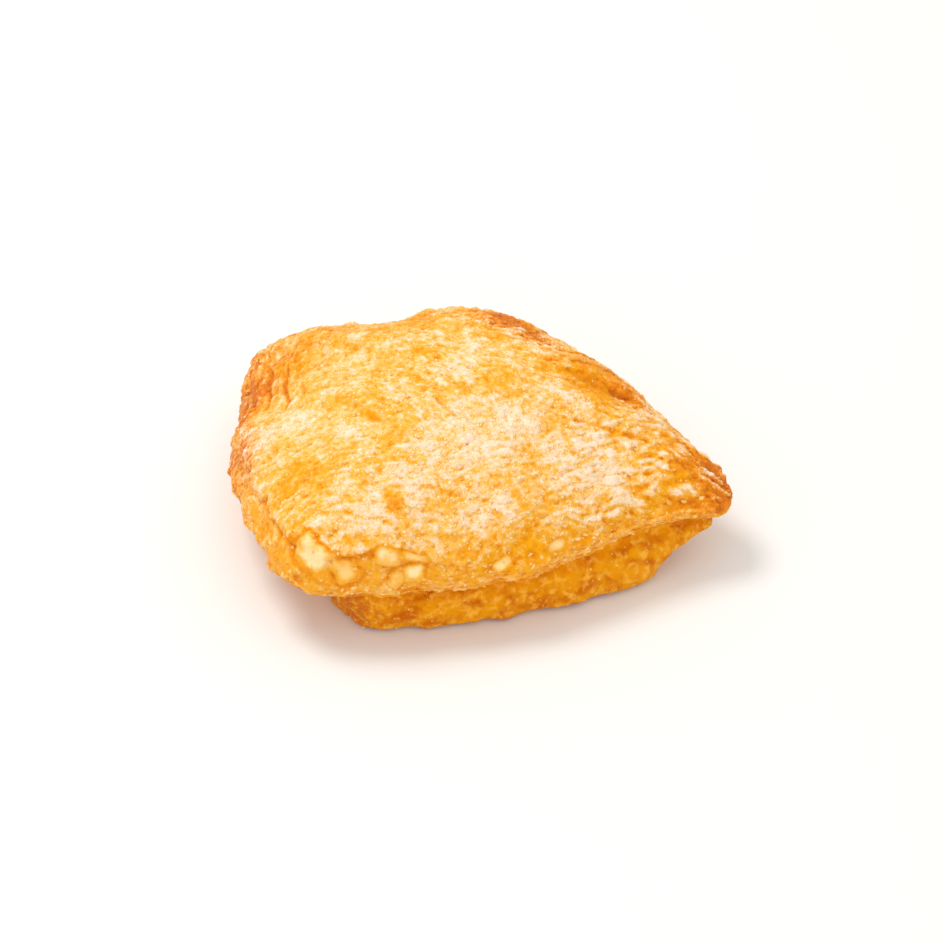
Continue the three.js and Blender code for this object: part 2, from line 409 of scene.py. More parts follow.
def crust_streaks(points):
    """Wrinkles whose way changes over the crust, from about -0.4 to 0.6, and their depth."""
    points = warped(points, 11.0, 1.1, STREAK_SEED)
    shape = np.zeros(len(points))
    depth = np.zeros(len(points))
    weights = np.full(len(points), 1e-6)
    for number, zone in enumerate(STREAKS):
        away = np.hypot(points[:, 0] - zone["at"][0], points[:, 1] - zone["at"][1])
        weight = bell(away, zone["radius"])
        place = streak_frame(points, zone)
        seed = STREAK_SEED + number
        ridges = np.abs(noise(place, 1.0, seed))
        ridges += 0.6 * np.abs(noise(place * 2.1, 1.0, seed + 20))
        shape += weight * (ridges - 0.42)
        depth += weight * zone["depth"]
        weights += weight
    return shape / weights, depth / weights


def crease_drop(points):
    """How deep the creases cut at each point, and how bare they leave it."""
    drop = np.zeros(len(points))
    bare = np.zeros(len(points))
    bend = 1.1 * noise(points, 8.0, 31)
    ragged = 0.22 * noise(points, 2.2, 32)
    for crease in CREASES:
        distance, share = along_line(points + bend[:, None], crease["from"], crease["to"])
        taper = np.sqrt(np.clip(4.0 * share * (1.0 - share), 0.05, 1.0))
        cut = bell(distance, crease["width"] * taper)
        drop += crease["depth"] * taper * cut
        bare = np.maximum(bare, crease["bare"] * smooth_step(0.2, 0.75, cut + ragged))
    return drop, bare


def dome_relief(field):
    """Blisters, wrinkles and creases of the upper leaf."""
    points = warped(field.points, 6.0, 0.9, 110)
    streak, depth = crust_streaks(field.points)
    depth *= 1.0 - 0.8 * field.fold_side
    swell = 0.7 * layered(points, 19.0, 101, 2) + zone_sum(field.points, LUMPS)
    blister = 0.8 * np.abs(noise(points, 8.0, 103)) + 0.5 * np.abs(noise(points, 3.7, 104))
    pebble = 0.26 * noise(points, 1.9, 105) + 0.26 * noise(points, 1.15, 106)
    drop, _ = crease_drop(field.points)
    return swell + blister + pebble + 0.75 * depth * streak - drop - 0.2


PLATE_SIZE = 6.6
PLATE_STRETCH = np.array([0.75, 0.75, 1.15])
PLATE_BARE = 0.78  # plates whose number is higher are smooth pale leaf


def front_plates(points):
    return plates(warped(points, 5.0, 0.8, 47) * PLATE_STRETCH, PLATE_SIZE, 41)


def rightward(field):
    """0 on the thick torn front, rising to 1 along the thin right leg."""
    return smooth_step(268.0, 290.0, (field.angle - 20.0) % 360.0 + 20.0)


def front_relief(field):
    """Torn plates of the upper leaf's front, and the leaves' edges along its right leg."""
    points = field.points
    inside, number, slope = front_plates(points)
    plate = smooth_step(0.0, 0.2, inside)
    torn = 0.2 * plate + 0.3 * (number - 0.5) + 0.4 * slope - 0.1 + 0.4 * noise(points, 6.0, 42)
    rough = np.abs(noise(points, 2.6, 43)) + 0.5 * noise(points, 1.4, 44)
    torn += 0.5 * (number < PLATE_BARE) * rough
    leaf = (field.above + 0.5 * noise(points, 7.0, 45)) / 1.1
    saw = leaf - np.floor(leaf)
    leaves = 0.4 * saw - 0.2 + 0.4 * noise(points, 2.5, 46) + 0.25 * noise(points, 1.3, 48)
    return torn + rightward(field) * (leaves - torn)


def wall_relief(field):
    """Soft folds of the lower leaf, its fine grain, and its ragged foot."""
    points = warped(field.points, 7.0, 1.2, 54)
    hanging = points * np.array([1.0, 1.0, 0.6])
    folds = 1.1 * np.abs(noise(hanging, 9.0, 51)) + 0.35 * noise(hanging, 3.4, 52) - 0.2
    grain = 0.2 * noise(points, 1.7, 53) + 0.14 * noise(points, 1.1, 56)
    ragged = 0.8 * noise(points, 6.0, 57) + 0.4 * noise(points, 2.4, 58)
    foot = smooth_step(3.5, 0.5, field.points[:, 2]) * ragged
    return folds + grain + foot


def browned_edge(field):
    """Where the rim is crumbly and dark: the left side and the lower leaf's free corner."""
    side = smooth_step(0.86, 0.98, field.out) * bell(field.angle - 205.0, 38.0) * field.upper
    corner = field.wall * bell(field.angle - 260.0, 10.0) * smooth_step(13.0, 9.0, field.points[:, 2])
    return np.clip(side + 1.5 * corner, 0.0, 1.5)


def crust_height(field):
    """How far the crust stands out from the solid's surface, in millimetres."""
    points = field.points
    relief = field.dome * dome_relief(field)
    relief += field.front * front_relief(field)
    relief += field.wall * wall_relief(field)
    overhang = 0.8 * bell(field.front_edge - 1.2, 1.5) - 1.0 * bell(field.front_edge + 0.8, 0.8)
    relief += field.crease * overhang
    edge = bell(field.above - 0.3, 1.1) * smooth_step(0.9, 0.97, field.out) * field.gape
    relief += edge * (0.2 + 0.6 * noise(points, 5.0, 61) + 0.6 * noise(points, 2.0, 62))
    crumbs = 0.4 * np.abs(noise(points, 2.8, 63)) + 0.25 * noise(points, 1.4, 64)
    relief += browned_edge(field) * crumbs
    return relief * (1.0 - 0.85 * field.plate) + field.plate_rise * field.upper


# ---------------------------------------------------------------- colour zones
# Soft round zones: plan position, radius, and how much they add.
# The pale and amber zones are partly the crust's own tone and partly painted light and shade: paler
# towards the right, which the key light reaches less, and more amber towards the left, where it falls
# most.
PALE_AND_LIT_ZONES = [
    (-34.0, -4.0, 12.0, 0.12),
    (13.0, -2.0, 14.0, 0.26),
    (41.0, 6.0, 13.0, 0.30),
    (-8.0, -37.0, 9.0, 0.12),
    (6.0, -20.0, 12.0, 0.10),
    (-2.0, 6.0, 8.0, 0.05),
]
AMBER_AND_SHADED_ZONES = [
    (-50.0, 20.0, 22.0, 0.11),
    (-54.0, 2.0, 12.0, 0.27),
    (-28.0, 34.0, 12.0, 0.10),
    (-3.0, 42.0, 7.0, 0.50),
    (-16.0, 15.0, 7.0, 0.15),
    (-21.0, -8.0, 6.0, 0.25),
    (-7.0, -12.0, 6.0, 0.22),
    (-2.0, 6.0, 5.0, 0.15),
    (8.0, 5.0, 6.0, 0.18),
    (8.0, 17.0, 9.0, 0.12),
    (27.0, 31.0, 9.0, 0.62),
    (-28.0, -30.0, 8.0, 0.18),
    (-19.0, -41.0, 8.0, 0.25),
    (0.0, -31.0, 3.0, 0.50),
    (62.0, 25.0, 14.0, 0.42),
    (25.0, -24.0, 10.0, 0.18),
]
BROWN_ZONES = [
    (-48.0, 12.0, 20.0, 0.15),
    (-14.0, 40.0, 10.0, 0.25),
    (24.0, 36.0, 10.0, 0.25),
    (-59.0, 3.0, 9.0, 0.42),
    (-66.0, 22.0, 12.0, 0.25),
    (-50.0, -20.0, 9.0, 0.35),
    (-42.0, 36.0, 16.0, 0.40),
    (-3.0, 40.0, 6.0, 0.70),
    (8.0, 39.0, 6.0, 0.60),
    (36.0, 35.0, 6.0, 0.35),
    (52.0, 30.0, 12.0, 0.25),
    (65.0, 24.0, 9.0, 0.4),
    (71.0, 18.0, 5.0, 0.5),
    (0.0, -31.5, 2.5, 0.35),
]


def crust_paint(field, ridge):
    """Fields for the material, from 0 to 1. ridge: 0.5 is level, more is raised, less is sunk.

    sugar: how densely crystals and glaze lie, with painted light and shade from the pale and amber
    zones.
    toast: browning. flake: smooth pale leaf. pit: painted shade between the plates and under the crease
    that tops the front. lower: the lower leaf. bare: glazed creases without sugar.
    """
    points = field.points
    _, bare = crease_drop(points)
    streak, depth = crust_streaks(points)
    depth *= 1.0 - field.fold_side
    patches = 0.26 * layered(points, 9.0, 81) + 0.2 * noise(points, 2.6, 84) + 0.85 * depth * streak
    near_lip = bell(field.above, 7.0) * field.gape * rightward(field)
    near_lip += 1.6 * field.fold_side * smooth_step(11.0, -1.0, field.above)
    # The zones bring painted light and shade into the sugar along with its own patches.
    sugar = 0.56 + patches + zone_sum(points, PALE_AND_LIT_ZONES)
    sugar = sugar - zone_sum(points, AMBER_AND_SHADED_ZONES) - 0.45 * near_lip
    sugar = field.dome * np.clip(sugar, 0.05, 1.0) * (1.0 - 0.9 * bare)
    inside, number, _ = front_plates(points)
    smooth_plate = smooth_step(0.05, 0.2, inside) * (number > PLATE_BARE) * (1.0 - rightward(field))
    sugared_side = 0.25 * smooth_step(245.0, 225.0, field.angle)
    sugar += field.front * (0.2 + sugared_side + 0.4 * noise(points, 3.0, 82)) * (1.0 - smooth_plate)
    sugar *= 1.0 - np.maximum(field.plate, field.plate_shade)
    edge = smooth_step(0.8, 1.0, field.out) * (1.0 - field.gape)
    toast = 0.3 * edge + zone_sum(points, BROWN_ZONES) * field.upper + 0.15 * layered(points, 6.0, 91)
    toast += 0.25 * field.roof + 0.9 * smooth_step(2.2, 0.4, points[:, 2]) * field.wall
    toast += 0.4 * browned_edge(field)
    # Painted shade in the crevice under the crease that overhangs the torn front.
    crease_shade = 0.8 * bell(field.front_edge + 0.8, 0.7) * field.crease * (1.0 - field.plate)
    pit = np.maximum(field.plate_shade, crease_shade)
    layers = {
        "ridge": ridge,
        "sugar": sugar,
        "toast": toast,
        "flake": np.maximum(field.front * (0.12 + 0.28 * smooth_plate), field.plate_pale),
        "pit": pit * smooth_step(1.0, 3.0, field.above),
        "lower": field.wall + field.roof + field.sole,
        "bare": bare * field.dome,
    }
    return {name: np.clip(values, 0.0, 1.0) for name, values in layers.items()}


# ---------------------------------------------------------------- the crust
def clean_copy(node):
    mesh = node.data.copy()
    work = bmesh.new()
    work.from_mesh(mesh)
    bmesh.ops.remove_doubles(work, verts=work.verts, dist=1e-6)
    work.to_mesh(mesh)
    work.free()
    mesh.materials.clear()
    return mesh


def remeshed(mesh):
    piece = new_object("crust", mesh)
    remesh = piece.modifiers.new("remesh", "REMESH")
    remesh.mode = "VOXEL"
    remesh.voxel_size = VOXEL * MM
    apply_modifiers(piece)
    return piece


SOLE_HEIGHT = 6.0  # faces that look down below this height are the sole
KEPT_FACES = 0.7  # share of all faces that the decimation aims for, at the sole's expense alone


def thin_out_sole(piece):
    """Fewer faces where nobody looks closely: the flat underside."""
    mesh = piece.data
    facing_down = vertex_normals(mesh)[:, 2] < -0.8
    hidden = facing_down & (positions(mesh)[:, 2] < SOLE_HEIGHT)
    group = piece.vertex_groups.new(name="sole")
    group.add(np.flatnonzero(hidden).tolist(), 1.0, "REPLACE")
    thin = piece.modifiers.new("thin", "DECIMATE")
    thin.vertex_group = "sole"
    thin.ratio = KEPT_FACES
    apply_modifiers(piece)
    piece.vertex_groups.clear()


SHAPE_ROUNDS = 10  # of smoothing that take the remesh's steps out of the surface
NORMAL_ROUNDS = 6  # of smoothing of the ways that the relief pushes
RIDGE_ROUNDS = 14  # of smoothing, between the relief and the level that ridges rise above
RIDGE_SPAN = 1.1  # millimetres from the deepest valley to the highest ridge


def make_crust(node):
    """The crust's piece, its fields and its paint."""
    rim = Rim(positions(node.data))
    piece = remeshed(clean_copy(node))
    thin_out_sole(piece)
    mesh = piece.data
    ends = edge_ends(mesh)
    points = smoothed(positions(mesh), ends, SHAPE_ROUNDS)
    move_to(mesh, points)
    normals = unit(smoothed(vertex_normals(mesh), ends, NORMAL_ROUNDS))
    field = Fields(points, normals, rim)
    height = crust_height(field)
    moved = points + normals * height[:, None]
    moved[:, 2] = np.maximum(moved[:, 2], 0.0)
    move_to(mesh, moved)
    ridge = np.clip(0.5 + (height - smoothed(height, ends, RIDGE_ROUNDS)) / RIDGE_SPAN, 0.0, 1.0)
    paint = crust_paint(field, ridge)
    for name, values in paint.items():
        store(mesh, name, values)
    mesh.shade_smooth()
    return piece, field, rim, paint


class Surface:
    """Finds places on the finished crust, in millimetres."""

    OUTSIDE = 120.0  # from the crown, beyond every point of the pastry

    def __init__(self, mesh):
        corners = triangles(mesh).tolist()
        self.tree = BVHTree.FromPolygons(positions(mesh).tolist(), corners, all_triangles=True)

    def nearest(self, place):
        point, normal, _, _ = self.tree.find_nearest(Vector(place))
        return np.array(point), np.array(normal)

    def from_side(self, angle, height):
        """The outermost place at an angle round the crown and at a height, or None."""
        way = np.array([math.cos(math.radians(angle)), math.sin(math.radians(angle)), 0.0])
        start = np.array([*CROWN, height]) + self.OUTSIDE * way
        point, _, _, _ = self.tree.ray_cast(Vector(start), Vector(-way))
        return None if point is None else np.array(point)


# ---------------------------------------------------------------- sugar crystals
CRYSTAL = (1.0, 0.85, 0.6)  # proportions of an average crystal, the last one is its thickness


def crystal_shapes(count, random):
    """Corners of rough little boxes about 1 across, one row of 8 corners for each."""
    box = np.array(list(itertools.product((-0.5, 0.5), repeat=3))) * np.array(CRYSTAL)
    stretch = random.uniform(0.75, 1.15, (count, 1, 3))
    return box[None] * stretch + random.normal(0, 0.06, (count, 8, 3))


# The sides of a box whose corners itertools.product lists.
BOX_FACES = np.array([
    (0, 1, 3, 2), (4, 6, 7, 5),
    (0, 4, 5, 1), (2, 3, 7, 6),
    (0, 2, 6, 4), (1, 5, 7, 3),
])


def seated(normals, random):
    """Rotation matrices that lay a box flat on the surface, turned at random and tilted a little."""
    up = unit(normals + random.normal(0.0, 0.3, normals.shape))
    level = unit(np.cross(up, random.normal(size=normals.shape)))
    return np.stack([level, np.cross(up, level), up], axis=2)


def face_samples(mesh, weights, count, random):
    """Random places on a mesh, more where a vertex weight is high: point, normal and vertex used."""
    corners = triangles(mesh)
    points = positions(mesh)
    a, b, c = (points[corners[:, k]] for k in range(3))
    cross = np.cross(b - a, c - a)
    area = np.linalg.norm(cross, axis=1)
    chance = area * weights[corners].mean(axis=1)
    chosen = random.choice(len(corners), count, p=chance / chance.sum())
    share = random.dirichlet((1.0, 1.0, 1.0), count)
    places = sum(share[:, k, None] * points[corners[chosen, k]] for k in range(3))
    normals = cross[chosen] / area[chosen, None]
    return places, normals, corners[chosen, 0]


def scatter_sugar(kind, crust, weights, tint):
    """One piece of joined crystals, more than half sunk in the crust."""
    random = np.random.default_rng(kind["seed"])
    count = kind["count"]
    places, normals, owner = face_samples(crust.data, weights, count, random)
    size = random.uniform(*kind["sizes"], count)
    shapes = crystal_shapes(count, random) * size[:, None, None]
    shapes = np.einsum("nij,nkj->nki", seated(normals, random), shapes)
    centres = places + normals * (size * random.uniform(*kind["height"], count))[:, None]
    points = (centres[:, None] + shapes).reshape(-1, 3)
    faces = (BOX_FACES[None] + 8 * np.arange(count)[:, None, None]).reshape(-1, 4)
    mesh = quad_mesh(kind["name"], points, faces)
    store(mesh, "tint", np.repeat(tint[owner] + random.normal(0, 0.12, count), 8))
    return new_object(kind["name"], mesh)


# ---------------------------------------------------------------- leaf edges and flakes
# Edges of single leaves along the cut legs: rim angles, height above the lip, and how far they stand
# out at most.
LEAF_EDGES = [
    {"from": 240.0, "to": 358.0, "up": 0.0, "proud": 1.0, "seed": 301},
    {"from": 272.0, "to": 356.0, "up": 0.8, "proud": 0.6, "seed": 302},
    {"from": 288.0, "to": 346.0, "up": 1.6, "proud": 0.5, "seed": 303},
    {"from": 300.0, "to": 358.0, "up": -0.8, "proud": 0.5, "seed": 305},
]
LEAF_STEP = 0.4  # degrees between a leaf edge's sections
LEAF_THICKNESS = 0.24
LEAF_INSET = 1.6  # how far a leaf edge reaches into the crust


def rolling_mean(values, reach):
    """Each row's mean with its neighbours, up to reach rows away."""
    padded = np.pad(values, ((reach, reach), (0, 0)), mode="edge")
    return sum(padded[k : k + len(values)] for k in range(2 * reach + 1)) / (2 * reach + 1)


def leaf_edge(surface, rim, leaf):
    """A thin ragged strip that stands out of the crust: its points, faces and tint."""
    angles = np.arange(leaf["from"], leaf["to"], LEAF_STEP)
    wave = 0.5 * noise(np.stack([angles, 0 * angles, 0 * angles], axis=1), 7.0, leaf["seed"])
    heights = rim.height(angles) + leaf["up"] + wave
    found = [surface.from_side(angle, height) for angle, height in zip(angles, heights)]
    path = rolling_mean(np.array([place for place in found if place is not None]), 6)
    along = unit(np.gradient(path[:, :2], axis=0))
    outward = np.stack([along[:, 1], -along[:, 0], np.zeros(len(path))], axis=1)
    ragged = 0.3 + 0.8 * noise(path, 6.0, leaf["seed"] + 20) + 0.9 * noise(path, 1.7, leaf["seed"] + 40)
    proud = leaf["proud"] * np.clip(ragged, -0.6, 1.2)[:, None]
    droop = np.array([0.0, 0.0, 1.0]) * (0.25 + 0.3 * noise(path, 4.0, leaf["seed"] + 60))[:, None]
    thick = np.array([0.0, 0.0, LEAF_THICKNESS])
    inner = path - LEAF_INSET * outward
    outer = path + proud * outward - droop * proud
    sections = np.stack([inner + thick, outer + 0.6 * thick, outer, inner - 0.2 * thick], axis=1)
    sides = []
    for k in range(4):
        here = np.arange(len(path) - 1)[:, None] * 4 + k
        beside = here - k + (k + 1) % 4
        sides.append(np.concatenate([here, beside, beside + 4, here + 4], axis=1))
    last = 4 * (len(path) - 1)
    ends = np.array([(3, 2, 1, 0), (last, last + 1, last + 2, last + 3)])
    tint = np.repeat(0.5 + 0.5 * noise(path, 6.0, leaf["seed"] + 80), 4)
    return sections.reshape(-1, 3), np.concatenate([*sides, ends]), tint


FLAKE_COUNT = 340
FLAKE_SIDES = 9
FLAKE_RINGS = (0.04, 0.35, 0.75, 1.0)  # shares of its size, the first almost a point
FLAKE_THICKNESS = 0.22
FLAKE_RAGGED = 0.45


def flake(surface, centre, size, turn, random, lift, curl):
    """A small ragged leaf lying on the crust and curling up at its edge: its points and faces.

    Its middle is a ring drawn in to almost a point, so that all faces have four sides.
    """
    base, normal = surface.nearest(centre)
    level = np.array([-normal[1], normal[0], 0.0])
    level = unit(level + np.array([1e-3, 0.0, 0.0]))
    side = np.cross(normal, level)
    along = math.cos(turn) * level + math.sin(turn) * side
    across = np.cross(normal, along)
    around = np.linspace(0.0, 2.0 * math.pi, FLAKE_SIDES, endpoint=False)
    reach = random.uniform(1.0 - FLAKE_RAGGED, 1.0 + 0.4 * FLAKE_RAGGED, FLAKE_SIDES)
    curl_side = np.cos(around - random.uniform(0.0, 2.0 * math.pi))
    top = []
    for share in FLAKE_RINGS:
        flat = np.outer(np.cos(around) * reach * share * size[0], along)
        flat += np.outer(np.sin(around) * reach * share * size[1], across)
        rise = lift + curl * share**2 * np.clip(curl_side, 0.0, 1.0)
        for offset, up in zip(flat, rise):
            place, _ = surface.nearest(base + offset)
            top.append(place + 0.4 * (base + offset - place) + normal * up)
    top = np.array(top)
    points = np.concatenate([top, top - FLAKE_THICKNESS * normal])
    return points, flake_faces(len(top))


def flake_faces(under):
    """Faces of a flake whose underside's points come as many places later as under says."""
    outermost = len(FLAKE_RINGS) - 1
    faces = []
    for ring in range(outermost):
        for k in range(FLAKE_SIDES):
            a, b = ring * FLAKE_SIDES + k, ring * FLAKE_SIDES + (k + 1) % FLAKE_SIDES
            c, d = b + FLAKE_SIDES, a + FLAKE_SIDES
            faces += [(a, d, c, b), (under + a, under + b, under + c, under + d)]
    for k in range(FLAKE_SIDES):
        for ring, flip in ((outermost, False), (0, True)):
            a, b = ring * FLAKE_SIDES + k, ring * FLAKE_SIDES + (k + 1) % FLAKE_SIDES
            wall = (a, under + a, under + b, b)
            faces.append(wall[::-1] if flip else wall)
    return np.array(faces)


def joined(parts):
    """Points and faces of several small meshes as one, and how many points each has."""
    counts = [len(points) for points, _ in parts]
    starts = np.concatenate([[0], np.cumsum(counts)[:-1]])
    points = np.concatenate([points for points, _ in parts])
    faces = np.concatenate([faces + start for (_, faces), start in zip(parts, starts)])
    return points, faces, counts


def make_leaf_edges(surface, rim):
    """The leaves' edges along the cut legs, as one piece."""
    strips = [leaf_edge(surface, rim, leaf) for leaf in LEAF_EDGES]
    points, faces, _ = joined([(points, faces) for points, faces, _ in strips])
    edges = quad_mesh("leaf_edges", points, faces)
    store(edges, "tint", np.clip(np.concatenate([tint for _, _, tint in strips]), 0.0, 1.0))
    return new_object("leaf_edges", edges)


def make_flakes(surface, crust, field):
    """The small flakes on the torn front and near the lip, as one piece."""
    random = np.random.default_rng(17)
    sheets = []
    tints = []
    near_lip = bell(field.above - 1.5, 2.5) * smooth_step(0.85, 0.95, field.out) * field.gape
    torn = smooth_step(225.0, 265.0, field.angle)
    weights = (field.front * 0.35 + near_lip) * (1.0 - field.plate) * (0.1 + torn)
    places, _, _ = face_samples(crust.data, weights, FLAKE_COUNT, random)
    for place in places:
        length = random.uniform(0.4, 1.0)
        size = (length, length * random.uniform(0.4, 0.7))
        turn = random.normal(0.0, 0.5)
        curl = random.uniform(0.0, 0.3)
        lift = random.uniform(-0.05, 0.1)
        sheets.append(flake(surface, place, size, turn, random, lift, curl))
        tints.append(random.uniform(0.1, 0.8))
    points, faces, counts = joined(sheets)
    flakes = quad_mesh("loose_flakes", points, faces)
    store(flakes, "tint", np.repeat(tints, counts))
    flakes.shade_smooth()
    return new_object("loose_flakes", flakes)


# ---------------------------------------------------------------- materials
def linear(red, green, blue):
    """A colour named by its sRGB values from 0 to 255, as Blender's linear RGBA."""
    share = np.array([red, green, blue]) / 255.0
    value = np.where(share <= 0.04045, share / 12.92, ((share + 0.055) / 1.055) ** 2.4)
    return (*value.tolist(), 1.0)


AMBER = linear(240, 165, 22)
AMBER_DEEP = linear(232, 144, 10)
VALLEY_SHADE = linear(230, 126, 8)
RUSSET = linear(226, 124, 20)
HONEY = linear(244, 187, 88)
TAN = linear(238, 156, 62)
FROST = linear(252, 221, 196)
LEAF = linear(252, 222, 164)
TOAST = linear(206, 110, 38)
TOAST_DARK = linear(168, 76, 22)
LOWER_GOLD = linear(231, 150, 8)
LOWER_DEEP = linear(202, 102, 8)
LOWER_PALE = linear(244, 176, 56)
SHADE_ORANGE = linear(228, 134, 12)
BARE_ORANGE = linear(228, 138, 18)
SUGAR_PALE = linear(254, 223, 170)
SUGAR_AMBER = linear(248, 184, 84)
EDGE_PALE = linear(252, 214, 142)
EDGE_AMBER = linear(240, 154, 28)
FLOOR_WHITE = (0.84, 0.825, 0.785, 1.0)


class Nodes:
    """Short names for building one material's node tree."""

    def __init__(self, name):
        self.material = bpy.data.materials.new(name)
        self.material.use_nodes = True
        self.tree = self.material.node_tree
        self.shader = self.tree.nodes["Principled BSDF"]
        self.coordinates = self.add("ShaderNodeTexCoord").outputs["Object"]

    def add(self, kind, **settings):
        node = self.tree.nodes.new(kind)
        for key, value in settings.items():
            setattr(node, key, value)
        return node

    def link(self, source, target):
        self.tree.links.new(source, target)

    def fill(self, socket, value):
        if isinstance(value, bpy.types.NodeSocket):
            self.link(value, socket)
        else:
            socket.default_value = value

    def set(self, **values):
        """Sets the shader's own sockets, named with underscores for spaces."""
        for name, value in values.items():
            self.shader.inputs[name.replace("_", " ")].default_value = value

    def field(self, name):
        return self.add("ShaderNodeAttribute", attribute_name=name).outputs["Fac"]

    def noise(self, size, detail=2.0, warp=0.0):
        node = self.add("ShaderNodeTexNoise")
        self.link(self.coordinates, node.inputs["Vector"])
        node.inputs["Scale"].default_value = 1.0 / (size * MM)
        node.inputs["Detail"].default_value = detail
        node.inputs["Distortion"].default_value = warp
        return node.outputs["Fac"]

    def cells(self, size):
        """Distance from the middle of the nearest of many random cells, and that cell's own number."""
        node = self.add("ShaderNodeTexVoronoi")
        self.link(self.coordinates, node.inputs["Vector"])
        node.inputs["Scale"].default_value = 1.0 / (size * MM)
        return node.outputs["Distance"], node.outputs["Color"]

    def math(self, operation, a, b):
        node = self.add("ShaderNodeMath", operation=operation)
        self.fill(node.inputs[0], a)
        self.fill(node.inputs[1], b)
        return node.outputs[0]

    def total(self, *terms):
        """The sum of a constant and of pairs of a value and its weight."""
        result = terms[0]
        for value, weight in terms[1:]:
            result = self.math("ADD", result, self.math("MULTIPLY", value, weight))
        return result

    def step(self, value, low, high, to_low=0.0, to_high=1.0):
        """A smooth change from to_low to to_high as the value goes from low to high."""
        node = self.add("ShaderNodeMapRange", interpolation_type="SMOOTHSTEP")
        self.link(value, node.inputs["Value"])
        node.inputs["From Min"].default_value = low
        node.inputs["From Max"].default_value = high
        node.inputs["To Min"].default_value = to_low
        node.inputs["To Max"].default_value = to_high
        return node.outputs["Result"]

    def mix(self, share, a, b):
        node = self.add("ShaderNodeMix", data_type="RGBA")
        self.fill(node.inputs["Factor"], share)
        self.fill(node.inputs[6], a)
        self.fill(node.inputs[7], b)
        return node.outputs[2]

    def bump(self, height, depth, previous=None):
        node = self.add("ShaderNodeBump")
        node.inputs["Strength"].default_value = 1.0
        node.inputs["Distance"].default_value = depth * MM
        self.link(height, node.inputs["Height"])
        if previous is not None:
            self.link(previous, node.inputs["Normal"])
        return node.outputs["Normal"]


def crust_material():
    n = Nodes("pastry_crust")
    sugar, toast, flaky = n.field("sugar"), n.field("toast"), n.field("flake")
    pit, lower, bare, ridge = n.field("pit"), n.field("lower"), n.field("bare"), n.field("ridge")
    # Sugar melted into grains, from clear amber between them to a pale frost where most of it lies.
    # The ridge term makes raised places frostier and sunk ones amber, as painted light and shade.
    amber = n.mix(n.step(n.noise(3.2, 3.0), 0.36, 0.66), AMBER, AMBER_DEEP)
    russet = n.step(toast, 0.0, 0.7)
    middle, number = n.cells(1.1)
    fine_middle, fine_number = n.cells(0.6)
    grains = n.total(0.0, (middle, 0.35), (number, 0.2), (fine_middle, 0.3), (fine_number, 0.15))
    cover = n.total(-0.27, (sugar, 1.0), (ridge, 0.4), (n.noise(1.4, 4.0, 0.5), 0.9), (grains, -0.85))
    skin = n.mix(n.step(cover, 0.0, 0.6), n.mix(russet, amber, RUSSET), n.mix(russet, HONEY, TAN))
    skin = n.mix(n.step(cover, 0.4, 1.0), skin, FROST)
    # Painted shade: the valleys of the relief turn a deeper orange.
    skin = n.mix(n.step(ridge, 0.42, 0.1, 0.0, 0.6), skin, VALLEY_SHADE)
    skin = n.mix(n.step(flaky, 0.0, 0.5), skin, HONEY)
    skin = n.mix(n.step(flaky, 0.3, 0.95), skin, LEAF)
    skin = n.mix(n.math("MULTIPLY", bare, 0.8), skin, BARE_ORANGE)
    # Painted shade between the plates and under the crease.
    skin = n.mix(n.math("MULTIPLY", pit, 0.7), skin, SHADE_ORANGE)
    # The lower leaf: oily gold, mottled at several sizes.
    gold = n.mix(n.step(n.noise(7.0, 5.0, 0.6), 0.4, 0.64), LOWER_GOLD, LOWER_DEEP)
    # Pale spots at random, with more of them on raised places as painted light.
    spots = n.total(0.0, (n.noise(2.2, 4.0), 1.0), (ridge, 0.35))
    gold = n.mix(n.step(spots, 0.62, 0.9), gold, LOWER_PALE)
    skin = n.mix(lower, skin, gold)
    # Brown where the crust is toasted and where the sugar is thin, and in the valleys and between the
    # grains as painted shade.
    brown = n.mix(n.step(n.noise(2.2, 3.0), 0.42, 0.72), TOAST, TOAST_DARK)
    brown_and_shade = n.total(
        -1.0, (toast, 0.9), (n.noise(1.5, 3.0), 1.2), (ridge, -0.4), (grains, 0.8), (cover, -0.4)
    )
    brown_and_shade = n.math("MULTIPLY", n.step(brown_and_shade, 0.0, 0.6), 0.85)
    n.link(n.mix(brown_and_shade, skin, brown), n.shader.inputs["Base Color"])
    n.link(n.step(cover, 0.0, 1.0, 0.35, 0.55), n.shader.inputs["Roughness"])
    fine = n.bump(n.noise(0.6, 3.0), 0.15)
    n.link(n.bump(grains, -0.22, fine), n.shader.inputs["Normal"])
    n.set(Subsurface_Weight=0.25, Subsurface_Radius=(1.0, 0.45, 0.12), Subsurface_Scale=1.2 * MM)
    n.set(Specular_IOR_Level=0.06, Specular_Tint=(1.0, 0.7, 0.25, 1.0))
    return n.material


def sugar_material():
    n = Nodes("sugar")
    tint = n.step(n.field("tint"), 0.0, 1.0)
    n.link(n.mix(tint, SUGAR_PALE, SUGAR_AMBER), n.shader.inputs["Base Color"])
    n.set(Roughness=0.4, Specular_IOR_Level=0.12, Specular_Tint=(1.0, 0.9, 0.75, 1.0))
    return n.material


def leaf_material():
    """Thin bare leaves: pale where they are new, amber and brown where the oven reached them."""
    n = Nodes("leaf")
    tint = n.total(0.0, (n.field("tint"), 0.7), (n.noise(1.6, 3.0), 0.6))
    pale = n.mix(n.step(tint, 0.1, 0.9), EDGE_PALE, EDGE_AMBER)
    n.link(n.mix(n.step(tint, 0.8, 1.2), pale, TOAST), n.shader.inputs["Base Color"])
    n.link(n.bump(n.noise(0.8, 3.0), 0.15), n.shader.inputs["Normal"])
    n.set(Roughness=0.45, Specular_IOR_Level=0.1, Specular_Tint=(1.0, 0.78, 0.42, 1.0))
    return n.material


